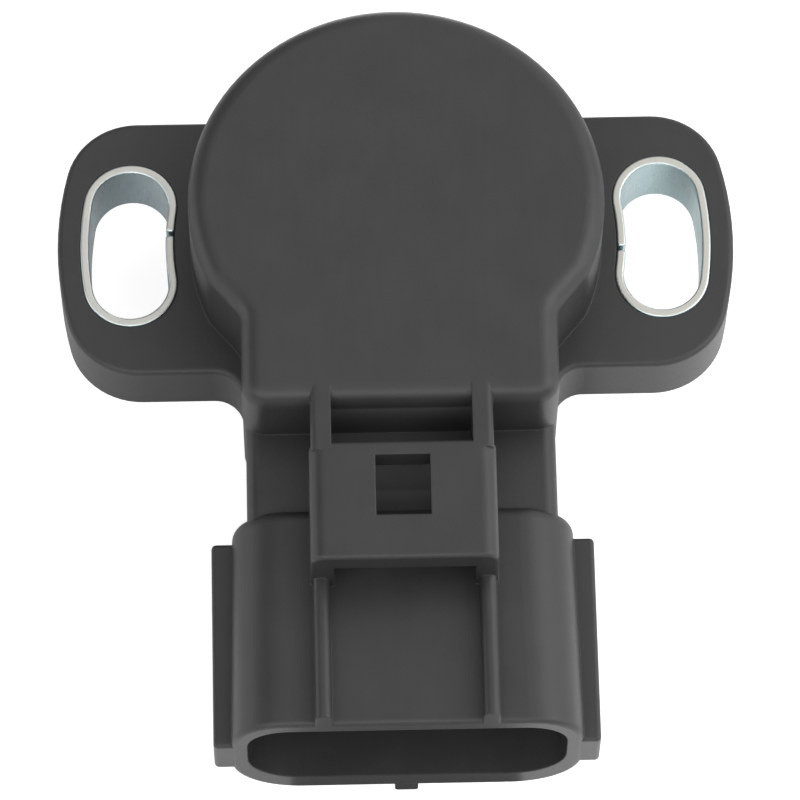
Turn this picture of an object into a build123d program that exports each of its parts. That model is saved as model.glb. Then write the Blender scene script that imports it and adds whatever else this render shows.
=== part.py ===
"""Throttle position sensor: moulded case with a keyed connector, lined adjusting slots and a sprung rotor."""

import os
from math import asin, cos, degrees, radians, sin, sqrt, tan

from build123d import *

# Driving dimensions, in millimetres and degrees.
# Z = 0 is the mounting face, the Z axis is the rotor's axis and the connector's mouth looks along -Y.

# Flange and its two ears
flange_thickness = 5.4
flange_edge_radius = 0.4
ear_front_depth = 10.4
ear_back_depth = 10.1
ear_end_wall = 1.7
ear_front_corner_radius = 5.6
ear_back_corner_radius = 5.3
ear_front_root_radius = 2.2
ear_back_root_radius = 1.2

# Curved adjusting slots and the rolled sleeves that line them
slot_land = 1.2
slot_clear_width = 5.7
slot_clear_length = 11.9
bushing_wall = 0.65
bushing_rim_radius = 0.15
bushing_seam = 0.35
bushing_seam_angle = 3.1
bushing_seam_radius = 0.2
bushing_proud = 0.1
bushing_seat_clearance = 0.02

# Raised round case with its squared neck
case_radius = 15.3
case_height = 14.0
case_edge_radius = 1.4
case_wall = 3.3
case_roof = 2.0
shoulder_angle = 40.0
shoulder_inset = 0.47
shoulder_corner_radius = 2.0
neck_inset = 0.7
neck_length = 6.0
neck_corner_radius = 1.6

# Throat between the neck and the connector
throat_side_step = 0.2
throat_length = 6.2
throat_height = 7.7
throat_edge_radius = 1.0

# Connector shroud
shroud_length = 16.75
shroud_axis_height = 1.95
shroud_half_height = 6.65
shroud_mouth_half_width = 12.75
shroud_flare = 0.3
shroud_top_corner_radius = 4.1
shroud_bottom_corner_radius = 5.2
shroud_back_edge_radius = 1.0
shroud_rim_radius = 0.4
shroud_side_wall = 1.2
shroud_top_wall = 1.3
shroud_bottom_wall = 2.2
cavity_depth = 14.0
cavity_draft = 0.15
cavity_top_corner_radius = 3.0
cavity_bottom_corner_radius = 4.2
wing_depth = 1.25
wing_thickness = 4.5
wing_back_setback = 0.95
wing_front_setback = 0.05
wing_corner_radius = 0.35
wing_edge_radius = 0.3
key_rib_width = 1.7
key_rib_depth = 1.1
key_rib_edge_radius = 0.3

# Latch: two ribs off the neck, a bridge on them and two guide rails on the shroud
rib_inner_x = 5.1
rib_width = 1.5
rib_length = 3.25
rib_edge_radius = 0.45
bridge_side_step = 0.15
bridge_length = 9.05
bridge_plate = 2.0
bridge_side_radius = 1.15
bridge_edge_radius = 0.35
bridge_hole_width = 3.95
bridge_hole_length = 4.65
bridge_hole_setback = 1.1
rail_width = 1.2
rail_height = 1.7
rail_edge_radius = 0.55

# Depth that one feature of the moulding is sunk into the next so that they join
overlap = 0.6

# Chamber for the rotor
cover_seat_ledge = 1.1
stop_rib_depth = 1.1
stop_rib_width = 2.0
rotor_travel = 100.0
stop_lug_angle = 60.0
stop_spare_angle = 1.5

# Bearing cover with its pilot spigot
cover_plate = 1.6
cover_side_clearance = 0.1
cover_ring_wall = 1.3
cover_ring_height = 2.2
pilot_wall = 2.6
pilot_depth = 5.5
pilot_chamfer = 0.5
bearing_clearance = 0.05
bearing_depth = 1.4

# Seals and washer
gasket_thickness = 0.4
gasket_side_clearance = 0.05
o_ring_section = 1.6
o_ring_proud = 0.15
o_ring_groove_width = 2.0
o_ring_groove_start = 1.2
o_ring_seat_clearance = 0.02
seal_width = 2.4
seal_depth = 3.0
seal_lip_thickness = 0.7
seal_web_thickness = 0.8
seal_lip_clearance = 0.05
washer_thickness = 0.5
washer_margin = 0.4

# Rotor
hub_radius = 6.0
hub_setback = 0.6
hub_shoulder = 1.0
hub_shoulder_clearance = 0.1
rotor_disc_clearance = 0.4
rotor_disc_thickness = 1.6
stop_lug_clearance = 0.4
stop_lug_width = 3.0
spindle_radius = 2.0
spindle_clearance = 0.05
spindle_depth = 1.0
spindle_end_clearance = 0.2
socket_radius = 3.6
socket_depth = 7.5
socket_slot_width = 2.4
socket_slot_length = 10.0

# Resistor board
board_thickness = 0.8
board_side_clearance = 0.2
board_hole_clearance = 0.6
board_notch_clearance = 0.3

# Terminals
terminal_pitch = 6.0
terminal_width = 2.3
terminal_thickness = 0.64
terminal_bend_radius = 0.9
terminal_tip_setback = 7.3
terminal_tip_chamfer = 0.2
terminal_riser_setback = 2.0
terminal_foot_lap = 3.4

# Wiper
wiper_space = 2.4
wiper_sheet = 0.3
wiper_inner_x = 3.4
wiper_rim_margin = 2.3
wiper_base_start = -2.6
wiper_base_end = 1.4
wiper_finger_width = 1.0
wiper_finger_spacing = 2.2
wiper_finger_run = 2.6
wiper_tip_length = 0.8
wiper_board_clearance = 0.05

# Return spring
spring_wire = 0.7
spring_hub_clearance = 0.85
spring_turns = 3
spring_floor_clearance = 0.65
spring_leg_clearance = 0.2
spring_leg_depth = 1.0

# Sizes that follow from the ones above, first those across the part
bushing_width = slot_clear_width + 2 * bushing_wall
slot_pitch_radius = case_radius + slot_land + bushing_width / 2
bushing_seam_pitch_radius = case_radius + slot_land + bushing_wall / 2
slot_half_angle = degrees(asin((slot_clear_length - slot_clear_width) / 2 / slot_pitch_radius))
ear_reach = slot_pitch_radius + bushing_width / 2 + ear_end_wall
shoulder_out = sin(radians(shoulder_angle))
shoulder_back = cos(radians(shoulder_angle))
shoulder_corner_run = shoulder_corner_radius * tan(radians(shoulder_angle / 2))
shoulder_end = ear_front_depth - shoulder_inset - shoulder_corner_run
neck_half_width = sqrt(case_radius**2 - shoulder_end**2) - neck_inset
shoulder_middle = shoulder_end * shoulder_back - neck_half_width * shoulder_out
shoulder_run = shoulder_middle + sqrt(
    shoulder_middle**2 + case_radius**2 - neck_half_width**2 - shoulder_end**2
)
shoulder_x = neck_half_width + shoulder_run * shoulder_out
shoulder_start = shoulder_end - shoulder_run * shoulder_back
neck_reach = ear_front_depth + neck_length
throat_half_width = neck_half_width - throat_side_step
shroud_start = neck_reach + throat_length
shroud_end = shroud_start + shroud_length
shroud_back_half_width = shroud_mouth_half_width - shroud_flare
wing_reach = shroud_mouth_half_width + wing_depth
wing_start = shroud_start + wing_back_setback
wing_end = shroud_end - wing_front_setback
rib_outer_x = rib_inner_x + rib_width
bridge_half_width = rib_outer_x + bridge_side_step
bridge_start = neck_reach + rib_length
bridge_end = bridge_start + bridge_length
rail_inner_x = rib_outer_x - rail_width
chamber_radius = case_radius - case_wall
cover_seat_radius = chamber_radius + cover_seat_ledge
cover_ring_radius = chamber_radius - cover_side_clearance
seal_seat_radius = hub_radius + seal_width
pilot_radius = seal_seat_radius + pilot_wall
bearing_radius = hub_radius + bearing_clearance
hub_shoulder_radius = hub_radius + hub_shoulder
washer_outer_radius = hub_shoulder_radius + washer_margin
rotor_disc_radius = chamber_radius - stop_rib_depth - rotor_disc_clearance
stop_lug_radius = chamber_radius - stop_lug_clearance
wiper_outer_x = rotor_disc_radius - wiper_rim_margin
terminal_riser_reach = neck_reach - terminal_riser_setback
terminal_foot_reach = chamber_radius - terminal_foot_lap
spring_radius = hub_shoulder_radius + spring_hub_clearance + spring_wire / 2

# Heights that follow
shroud_top = shroud_axis_height + shroud_half_height
shroud_bottom = shroud_axis_height - shroud_half_height
cavity_top = shroud_top - shroud_top_wall
cavity_bottom = shroud_bottom + shroud_bottom_wall
blade_height = (cavity_top + cavity_bottom) / 2
roof_underside = case_height - case_roof
board_underside = roof_underside - board_thickness
cover_seat_depth = cover_plate + gasket_thickness
washer_top = cover_plate + washer_thickness
hub_shoulder_height = washer_top + hub_shoulder_clearance
hub_end = hub_setback - pilot_depth
rotor_disc_top = board_underside - wiper_space
rotor_disc_underside = rotor_disc_top - rotor_disc_thickness
spring_start = cover_plate + spring_floor_clearance + spring_wire / 2
spring_height = rotor_disc_underside - spring_floor_clearance - spring_wire / 2 - spring_start
spring_pitch = spring_height / spring_turns
spring_slot = spring_wire + 2 * spring_leg_clearance

# Seal ring and stops that follow
o_ring_radius = pilot_radius + o_ring_proud - o_ring_section / 2
o_ring_groove_radius = o_ring_radius - o_ring_section / 2 - o_ring_seat_clearance
o_ring_height = -(o_ring_groove_start + o_ring_groove_width / 2)
stop_swing = degrees(asin((stop_lug_width + stop_rib_width) / 2 / rotor_disc_radius)) + stop_spare_angle
stop_rib_angles = (stop_lug_angle - stop_swing, stop_lug_angle + rotor_travel + stop_swing)
same_place = 0.01


def facing_mouth(y):
    """Plane across the connector, with X to the right, Z up and its normal towards the mouth."""
    return Plane(origin=(0, y, 0), x_dir=(1, 0, 0), z_dir=(0, -1, 0))


def sides(x):
    """The same place on the left and on the right."""
    return (-x, x)


def shroud_section(y, half_width, top, bottom, top_radius, bottom_radius):
    """Section of the shroud or its cavity, with its own radius on the upper and lower corners."""
    with BuildSketch(facing_mouth(y)) as section:
        with Locations((0, (top + bottom) / 2)):
            Rectangle(2 * half_width, top - bottom)
        fillet(section.vertices().group_by(Axis.Y)[0], bottom_radius)
        fillet(section.vertices().group_by(Axis.Y)[-1], top_radius)
    return section.sketch


def slot_outline(width, angle):
    """Curved slot about the rotor's axis, centred on the given angle."""
    with BuildSketch() as outline:
        with BuildLine(mode=Mode.PRIVATE) as path:
            CenterArc((0, 0), slot_pitch_radius, angle - slot_half_angle, 2 * slot_half_angle)
        SlotArc(path.edge(), width)
    return outline.sketch


# Outline of the raised case: most of a circle, sloping shoulders and the squared neck
with BuildSketch() as case_outline:
    with BuildLine():
        ThreePointArc((shoulder_x, -shoulder_start), (0, case_radius), (-shoulder_x, -shoulder_start))
        Polyline(
            (-shoulder_x, -shoulder_start),
            (-neck_half_width, -shoulder_end),
            (-neck_half_width, -neck_reach),
            (neck_half_width, -neck_reach),
            (neck_half_width, -shoulder_end),
            (shoulder_x, -shoulder_start),
        )
    make_face()
    neck_corners = case_outline.vertices().group_by(Axis.Y)[0]
    fillet(neck_corners, neck_corner_radius)
    shoulder_corners = case_outline.vertices().filter_by_position(Axis.Y, -shoulder_end - same_place, 0)
    fillet(shoulder_corners, shoulder_corner_radius)

# Outline of the ears: a band across a large disc, with round corners
with BuildSketch() as ear_outline:
    Circle(ear_reach)
    with Locations((0, (ear_back_depth - ear_front_depth) / 2)):
        Rectangle(2 * ear_reach, ear_back_depth + ear_front_depth, mode=Mode.INTERSECT)
    fillet(ear_outline.vertices().group_by(Axis.Y)[0], ear_front_corner_radius)
    fillet(ear_outline.vertices().group_by(Axis.Y)[-1], ear_back_corner_radius)

# Connector shroud, before its cavity
with BuildPart() as shroud:
    add(
        shroud_section(
            -shroud_start,
            shroud_back_half_width,
            shroud_top,
            shroud_bottom,
            shroud_top_corner_radius,
            shroud_bottom_corner_radius,
        )
    )
    add(
        shroud_section(
            -shroud_end,
            shroud_mouth_half_width,
            shroud_top,
            shroud_bottom,
            shroud_top_corner_radius,
            shroud_bottom_corner_radius,
        )
    )
    loft()
    fillet(shroud.faces().sort_by(Axis.Y)[-1].edges(), shroud_back_edge_radius)
    fillet(shroud.faces().sort_by(Axis.Y)[0].edges(), shroud_rim_radius)
    # Key rib below the shroud
    with BuildSketch(facing_mouth(-wing_start)) as key_rib_profile:
        with Locations((0, shroud_bottom)):
            Rectangle(key_rib_width, 2 * key_rib_depth)
        fillet(key_rib_profile.vertices().group_by(Axis.Y)[0], key_rib_edge_radius)
    extrude(amount=wing_end - wing_start)

# Keying wings: one rounded plate right across the shroud, before the cavity opens it
with BuildPart() as wings:
    with BuildSketch(Plane.XY.offset(shroud_axis_height)) as wing_outline:
        with Locations((0, -(wing_start + wing_end) / 2)):
            Rectangle(2 * wing_reach, wing_end - wing_start)
        fillet(wing_outline.vertices(), wing_corner_radius)
    extrude(amount=wing_thickness / 2, both=True)
    fillet(wings.faces().filter_by(Axis.Z).edges(), wing_edge_radius)

# Latch bridge: a rounded block hollowed from end to end, with a window through its plate
with BuildPart() as bridge:
    with BuildSketch(facing_mouth(-bridge_start)) as bridge_profile:
        with Locations((0, (case_height + throat_height - overlap) / 2)):
            Rectangle(2 * bridge_half_width, case_height - throat_height + overlap)
        fillet(bridge_profile.vertices().group_by(Axis.Y)[-1], bridge_side_radius)
    extrude(amount=bridge_end - bridge_start)
    bridge_ends = bridge.faces().filter_by(Axis.Y)
    bridge_end_edges = bridge_ends.edges().filter_by_position(Axis.Z, shroud_top, case_height)
    fillet(bridge_end_edges.filter_by(GeomType.LINE).filter_by(Axis.X), bridge_edge_radius)
    with BuildSketch(facing_mouth(-bridge_start)):
        with Locations((0, (case_height - bridge_plate) / 2)):
            Rectangle(2 * rib_inner_x, case_height - bridge_plate)
    extrude(amount=bridge_end - bridge_start, mode=Mode.SUBTRACT)
    with BuildSketch(Plane.XY.offset(case_height)):
        with Locations((0, -bridge_start - bridge_hole_setback - bridge_hole_length / 2)):
            Rectangle(bridge_hole_width, bridge_hole_length)
    extrude(amount=-2 * bridge_plate, mode=Mode.SUBTRACT)

# Guide rails along the top of the shroud
with BuildPart() as rails:
    with BuildSketch(facing_mouth(-bridge_end + overlap)) as rail_profile:
        for x in sides((rail_inner_x + rib_outer_x) / 2):
            with Locations((x, shroud_top + (rail_height - overlap) / 2)):
                Rectangle(rib_outer_x - rail_inner_x, rail_height + overlap)
        fillet(rail_profile.vertices().group_by(Axis.Y)[-1], rail_edge_radius)
    extrude(amount=shroud_end - bridge_end + overlap)


def make_terminal(x):
    """Blade in the connector, a riser inside the neck and a foot under the board."""
    foot_z = board_underside - terminal_thickness / 2
    with BuildPart() as terminal:
        with BuildSketch(Plane.YZ.offset(x)):
            with BuildLine():
                FilletPolyline(
                    (terminal_tip_setback - shroud_end, blade_height),
                    (-terminal_riser_reach, blade_height),
                    (-terminal_riser_reach, foot_z),
                    (-terminal_foot_reach, foot_z),
                    radius=terminal_bend_radius,
                )
            trace(line_width=terminal_thickness)
        extrude(amount=terminal_width / 2, both=True)
        chamfer(terminal.faces().sort_by(Axis.Y)[0].edges(), terminal_tip_chamfer)
    return terminal.part


terminal_places = {
    "terminal_supply": -terminal_pitch,
    "terminal_signal": 0,
    "terminal_ground": terminal_pitch,
}
terminals = {name: make_terminal(x) for name, x in terminal_places.items()}

# The whole moulding
with BuildPart() as housing:
    with BuildSketch() as flange_outline:
        add(ear_outline.sketch)
        add(case_outline.sketch)
        with Locations((0, -shroud_start / 2)):
            Rectangle(2 * throat_half_width, shroud_start)
        front_roots = flange_outline.vertices().filter_by(
            lambda v: abs(abs(v.X) - neck_half_width) < same_place and abs(v.Y + ear_front_depth) < same_place
        )
        fillet(front_roots, ear_front_root_radius)
        back_roots = flange_outline.vertices().filter_by(
            lambda v: abs(v.Y - ear_back_depth) < same_place and abs(v.X) < case_radius
        )
        fillet(back_roots, ear_back_root_radius)
    extrude(amount=flange_thickness)
    fillet(housing.faces().sort_by(Axis.Z)[-1].edges(), flange_edge_radius)
    # Raised case with its rounded top edge
    with BuildSketch():
        add(case_outline.sketch)
    extrude(amount=case_height)
    fillet(housing.faces().sort_by(Axis.Z)[-1].edges(), case_edge_radius)
    # Throat with rounded upper edges
    with BuildSketch(facing_mouth(-neck_reach + case_edge_radius)) as throat_profile:
        with Locations((0, throat_height / 2)):
            Rectangle(2 * throat_half_width, throat_height)
        fillet(throat_profile.vertices().group_by(Axis.Y)[-1], throat_edge_radius)
    extrude(amount=shroud_start - neck_reach + case_edge_radius + shroud_back_edge_radius)
    # Latch ribs, flush with the case's top
    with BuildSketch(facing_mouth(-neck_reach + 2 * case_edge_radius)) as rib_profile:
        for x in sides((rib_inner_x + rib_outer_x) / 2):
            with Locations((x, (case_height + throat_height - overlap) / 2)):
                Rectangle(rib_outer_x - rib_inner_x, case_height - throat_height + overlap)
        rib_top_corners = rib_profile.vertices().group_by(Axis.Y)[-1].sort_by(Axis.X)
        fillet((rib_top_corners[0], rib_top_corners[-1]), rib_edge_radius)
    extrude(amount=bridge_start - neck_reach + 2 * case_edge_radius + overlap)
    add(shroud.part)
    add(wings.part)
    add(bridge.part)
    add(rails.part)
    # Connector cavity
    for y, draft in ((-shroud_end, 0), (cavity_depth - shroud_end, cavity_draft)):
        add(
            shroud_section(
                y,
                shroud_mouth_half_width - shroud_side_wall - draft,
                cavity_top - draft,
                cavity_bottom + draft,
                cavity_top_corner_radius,
                cavity_bottom_corner_radius,
            )
        )
    loft(mode=Mode.SUBTRACT)
    # Seat for the cover, rotor chamber and blind bearing for the spindle
    with BuildSketch():
        Circle(cover_seat_radius)
    extrude(amount=cover_seat_depth, mode=Mode.SUBTRACT)
    with BuildSketch():
        Circle(chamber_radius)
    extrude(amount=roof_underside, mode=Mode.SUBTRACT)
    with BuildSketch(Plane.XY.offset(roof_underside)):
        Circle(spindle_radius + spindle_clearance)
    extrude(amount=spindle_depth + spindle_end_clearance, mode=Mode.SUBTRACT)
    # Stops for the rotor's lug on the chamber's wall
    with BuildSketch(Plane.XY.offset(rotor_disc_underside - rotor_disc_thickness)):
        for angle in stop_rib_angles:
            with PolarLocations(chamber_radius - (stop_rib_depth - overlap) / 2, 1, start_angle=angle):
                Rectangle(stop_rib_depth + overlap, stop_rib_width)
    extrude(until=Until.NEXT)
    # Slots for the bushings and channels round the moulded-in terminals
    with BuildSketch():
        for angle in (0, 180):
            add(slot_outline(bushing_width + 2 * bushing_seat_clearance, angle))
    extrude(amount=flange_thickness, mode=Mode.SUBTRACT)
    for terminal in terminals.values():
        add(terminal, mode=Mode.SUBTRACT)


def make_bushing(angle):
    """Rolled sleeve with rounded rims and a butt seam on the side nearest the axis."""
    seam_angle = angle - bushing_seam_angle
    seam_place = Vector(bushing_seam_pitch_radius, 0).rotate(Axis.Z, seam_angle)
    with BuildPart() as bushing:
        with BuildSketch() as section:
            add(slot_outline(bushing_width, angle))
            add(slot_outline(slot_clear_width, angle), mode=Mode.SUBTRACT)
            with PolarLocations(bushing_seam_pitch_radius, 1, start_angle=seam_angle):
                Rectangle(2 * bushing_wall, bushing_seam, mode=Mode.SUBTRACT)
            seam_corners = section.vertices().filter_by(
                lambda v: (v.center() - seam_place).length < bushing_wall + bushing_seam
            )
            fillet(seam_corners, bushing_seam_radius)
        extrude(amount=flange_thickness + bushing_proud)
        fillet(bushing.faces().filter_by(Axis.Z).edges(), bushing_rim_radius)
    return bushing.part


right_bushing = make_bushing(0)
left_bushing = make_bushing(180)

# Board under the roof, with notches round the stops and a hole for the spindle
with BuildPart() as resistor_board:
    with BuildSketch(Plane.XY.offset(board_underside)):
        Circle(chamber_radius - board_side_clearance)
        Circle(spindle_radius + board_hole_clearance, mode=Mode.SUBTRACT)
        for angle in stop_rib_angles:
            with PolarLocations(chamber_radius - stop_rib_depth / 2, 1, start_angle=angle):
                Rectangle(
                    stop_rib_depth + 2 * board_notch_clearance,
                    stop_rib_width + 2 * board_notch_clearance,
                    mode=Mode.SUBTRACT,
                )
    extrude(amount=board_thickness)

# Rotor: hub, disc, spindle, stop lug, spring hole and drive socket
with BuildPart() as rotor:
    with BuildSketch(Plane.XZ):
        with BuildLine():
            Polyline(
                (0, hub_end),
                (hub_radius, hub_end),
                (hub_radius, hub_shoulder_height),
                (hub_shoulder_radius, hub_shoulder_height),
                (hub_shoulder_radius, rotor_disc_underside),
                (rotor_disc_radius, rotor_disc_underside),
                (rotor_disc_radius, rotor_disc_top),
                (spindle_radius, rotor_disc_top),
                (spindle_radius, roof_underside + spindle_depth),
                (0, roof_underside + spindle_depth),
                close=True,
            )
        make_face()
    revolve(axis=Axis.Z)
    with BuildSketch(Plane.XY.offset(rotor_disc_underside)):
        with PolarLocations((hub_shoulder_radius + stop_lug_radius) / 2, 1, start_angle=stop_lug_angle):
            Rectangle(stop_lug_radius - hub_shoulder_radius, stop_lug_width)
    extrude(amount=rotor_disc_thickness)
    with BuildSketch(Plane.XY.offset(rotor_disc_underside)):
        with Locations((spring_radius, 0)):
            Rectangle(spring_slot, spring_slot)
    extrude(amount=spring_leg_depth + spring_leg_clearance, mode=Mode.SUBTRACT)
    with BuildSketch(Plane.XY.offset(hub_end)):
        Circle(socket_radius)
        Rectangle(socket_slot_width, socket_slot_length)
    extrude(amount=socket_depth, mode=Mode.SUBTRACT)

# Wiper: base plate on the rotor with two sprung fingers that rise to the board
with BuildPart() as wiper:
    wiper_middle_x = (wiper_inner_x + wiper_outer_x) / 2
    finger_top = board_underside - wiper_board_clearance - wiper_sheet / 2
    with BuildSketch(Plane.XY.offset(rotor_disc_top)):
        with Locations((wiper_middle_x, (wiper_base_start + wiper_base_end) / 2)):
            Rectangle(wiper_outer_x - wiper_inner_x, wiper_base_end - wiper_base_start)
    extrude(amount=wiper_sheet)
    for x in (wiper_middle_x - wiper_finger_spacing / 2, wiper_middle_x + wiper_finger_spacing / 2):
        with BuildSketch(Plane.YZ.offset(x)):
            with BuildLine():
                Polyline(
                    (wiper_base_end - overlap, rotor_disc_top + wiper_sheet / 2),
                    (wiper_base_end, rotor_disc_top + wiper_sheet / 2),
                    (wiper_base_end + wiper_finger_run, finger_top),
                    (wiper_base_end + wiper_finger_run + wiper_tip_length, finger_top),
                )
            trace(line_width=wiper_sheet)
        extrude(amount=wiper_finger_width / 2, both=True)

# Return spring: square wire, with one leg out to the cover and one up into the rotor
with BuildPart() as return_spring:
    with BuildLine():
        Helix(spring_pitch, spring_height, spring_radius, center=(0, 0, spring_start))
    with BuildSketch(Plane(origin=(spring_radius, 0, spring_start), x_dir=(1, 0, 0), z_dir=(0, 1, 0))):
        Rectangle(spring_wire, spring_wire)
    sweep(is_frenet=True)
    leg_end = cover_ring_radius - spring_leg_clearance
    with BuildSketch(Plane.XY.offset(spring_start - spring_wire / 2)):
        with Locations(((spring_radius - spring_wire / 2 + leg_end) / 2, 0)):
            Rectangle(leg_end - spring_radius + spring_wire / 2, spring_wire)
    extrude(amount=spring_wire)
    leg_start = spring_start + spring_height - spring_wire / 2
    with BuildSketch(Plane.XY.offset(leg_start)):
        with Locations((spring_radius, 0)):
            Rectangle(spring_wire, spring_wire)
    extrude(amount=rotor_disc_underside + spring_leg_depth - leg_start)

# Cover: plate in the seat, locating ring in the chamber, pilot spigot and the hub's bearing
with BuildPart() as bearing_cover:
    with BuildSketch(Plane.XZ):
        groove_top = -o_ring_groove_start
        groove_bottom = -o_ring_groove_start - o_ring_groove_width
        with BuildLine():
            Polyline(
                (bearing_radius, -bearing_depth),
                (bearing_radius, cover_plate),
                (cover_ring_radius - cover_ring_wall, cover_plate),
                (cover_ring_radius - cover_ring_wall, cover_plate + cover_ring_height),
                (cover_ring_radius, cover_plate + cover_ring_height),
                (cover_ring_radius, cover_plate),
                (cover_seat_radius - cover_side_clearance, cover_plate),
                (cover_seat_radius - cover_side_clearance, 0),
                (pilot_radius, 0),
                (pilot_radius, groove_top),
                (o_ring_groove_radius, groove_top),
                (o_ring_groove_radius, groove_bottom),
                (pilot_radius, groove_bottom),
                (pilot_radius, pilot_chamfer - pilot_depth),
                (pilot_radius - pilot_chamfer, -pilot_depth),
                (seal_seat_radius, -pilot_depth),
                (seal_seat_radius, -bearing_depth),
                close=True,
            )
        make_face()
    revolve(axis=Axis.Z)
    with BuildSketch(Plane.XY.offset(spring_start - spring_wire / 2 - spring_leg_clearance)):
        with Locations((cover_ring_radius - cover_ring_wall / 2, 0)):
            Rectangle(2 * cover_ring_wall, spring_slot)
    extrude(amount=cover_ring_height, mode=Mode.SUBTRACT)

# Gasket between the cover's rim and the shoulder of its seat
with BuildPart() as cover_gasket:
    with BuildSketch(Plane.XY.offset(cover_plate)):
        Circle(cover_seat_radius - gasket_side_clearance)
        Circle(chamber_radius + gasket_side_clearance, mode=Mode.SUBTRACT)
    extrude(amount=gasket_thickness)

# Ring in the spigot's groove
with BuildPart() as pilot_o_ring:
    with BuildSketch(Plane.XZ):
        with Locations((o_ring_radius, o_ring_height)):
            Circle(o_ring_section / 2)
    revolve(axis=Axis.Z)

# Lip seal in the spigot's bore, with its lip on the hub
with BuildPart() as rotor_seal:
    with BuildSketch(Plane.XZ):
        seal_inner = hub_radius + seal_lip_clearance
        seal_top = -bearing_depth
        with BuildLine():
            Polyline(
                (seal_inner, seal_top),
                (seal_seat_radius, seal_top),
                (seal_seat_radius, seal_top - seal_depth),
                (seal_seat_radius - seal_lip_thickness, seal_top - seal_depth),
                (seal_seat_radius - seal_lip_thickness, seal_top - seal_web_thickness),
                (seal_inner + seal_lip_thickness, seal_top - seal_web_thickness),
                (seal_inner + seal_lip_thickness, seal_top - seal_depth),
                (seal_inner, seal_top - seal_depth),
                close=True,
            )
        make_face()
    revolve(axis=Axis.Z)

# Washer between the cover and the hub's shoulder
with BuildPart() as thrust_washer:
    with BuildSketch(Plane.XY.offset(cover_plate)):
        Circle(washer_outer_radius)
        Circle(bearing_radius, mode=Mode.SUBTRACT)
    extrude(amount=washer_thickness)

pieces = {
    "housing": housing.part,
    "left_bushing": left_bushing,
    "right_bushing": right_bushing,
    "resistor_board": resistor_board.part,
    "rotor": rotor.part,
    "wiper": wiper.part,
    "return_spring": return_spring.part,
    "bearing_cover": bearing_cover.part,
    "cover_gasket": cover_gasket.part,
    "pilot_o_ring": pilot_o_ring.part,
    "rotor_seal": rotor_seal.part,
    "thrust_washer": thrust_washer.part,
    **terminals,
}
os.makedirs("parts", exist_ok=True)
for name, piece in pieces.items():
    piece.label = name
    export_step(piece, f"parts/{name}.step")
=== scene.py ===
"""Throttle position sensor in a white studio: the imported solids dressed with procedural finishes."""

from __future__ import annotations

import logging
import math
from dataclasses import dataclass, field
from enum import Enum
from typing import ClassVar, Mapping, Protocol, Sequence, Union

import bpy
from mathutils import Matrix, Vector


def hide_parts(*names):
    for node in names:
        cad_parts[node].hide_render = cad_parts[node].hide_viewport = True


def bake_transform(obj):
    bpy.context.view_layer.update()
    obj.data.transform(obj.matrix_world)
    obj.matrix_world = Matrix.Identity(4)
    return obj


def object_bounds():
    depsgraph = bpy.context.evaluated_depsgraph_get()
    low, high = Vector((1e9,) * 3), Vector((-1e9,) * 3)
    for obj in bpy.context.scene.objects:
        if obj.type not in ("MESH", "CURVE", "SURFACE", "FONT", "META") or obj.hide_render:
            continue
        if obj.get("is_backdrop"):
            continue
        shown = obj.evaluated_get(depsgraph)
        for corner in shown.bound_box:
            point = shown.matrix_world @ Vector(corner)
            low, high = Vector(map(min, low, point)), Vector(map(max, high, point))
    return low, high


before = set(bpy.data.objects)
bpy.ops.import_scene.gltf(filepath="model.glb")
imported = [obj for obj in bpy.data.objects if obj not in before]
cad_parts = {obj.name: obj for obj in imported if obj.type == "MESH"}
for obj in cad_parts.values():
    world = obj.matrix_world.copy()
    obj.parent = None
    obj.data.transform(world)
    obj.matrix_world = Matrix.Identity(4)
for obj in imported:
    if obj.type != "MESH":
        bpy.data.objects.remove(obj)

log = logging.getLogger("sensor")

MILLIMETRE = 0.001

# Levels of the noise and of the cells' distance that leave a finish's roughness as it is
NOISE_LEVEL = 0.5
CELL_LEVEL = 0.4

Colour = tuple[float, float, float]
Point = tuple[float, float, float]
Box = tuple[Vector, Vector]


class Axis(Enum):
    """Directions that a drawn or stamped surface can have its lines along."""

    X = (1.0, 0.0, 0.0)
    Y = (0.0, 1.0, 0.0)
    Z = (0.0, 0.0, 1.0)


@dataclass(frozen=True)
class Signal:
    """A node's output that varies over a surface; arithmetic on it adds Math nodes."""

    graph: "ShaderGraph"
    socket: bpy.types.NodeSocket

    def _math(self, operation: str, first: "Operand", second: "Operand") -> "Signal":
        """One Math node on two operands."""
        return self.graph.node("ShaderNodeMath", {"operation": operation}, {0: first, 1: second})

    def __add__(self, other: "Operand") -> "Signal":
        """This value plus another."""
        return self._math("ADD", self, other)

    def __radd__(self, other: "Operand") -> "Signal":
        """Another value plus this one."""
        return self._math("ADD", other, self)

    def __sub__(self, other: "Operand") -> "Signal":
        """This value less another."""
        return self._math("SUBTRACT", self, other)

    def __rsub__(self, other: "Operand") -> "Signal":
        """Another value less this one."""
        return self._math("SUBTRACT", other, self)

    def __mul__(self, other: "Operand") -> "Signal":
        """This value times another."""
        return self._math("MULTIPLY", self, other)

    def __rmul__(self, other: "Operand") -> "Signal":
        """Another value times this one."""
        return self._math("MULTIPLY", other, self)

    def __pow__(self, other: "Operand") -> "Signal":
        """This value to a power."""
        return self._math("POWER", self, other)

    def at_least(self, other: "Operand") -> "Signal":
        """The larger of this value and another."""
        return self._math("MAXIMUM", self, other)

    def step(self, low: float, high: float) -> "Signal":
        """Rises smoothly from 0 at low to 1 at high.

        Args:
            low: Value of this signal where the result leaves 0.
            high: Value of this signal where the result reaches 1.

        Returns:
            The smoothed step.
        """
        settings = {"interpolation_type": "SMOOTHSTEP"}
        inputs = {"Value": self, "From Min": low, "From Max": high, "To Min": 0.0, "To Max": 1.0}
        return self.graph.node("ShaderNodeMapRange", settings, inputs)


Operand = Union[Signal, float, Sequence[float]]


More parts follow.
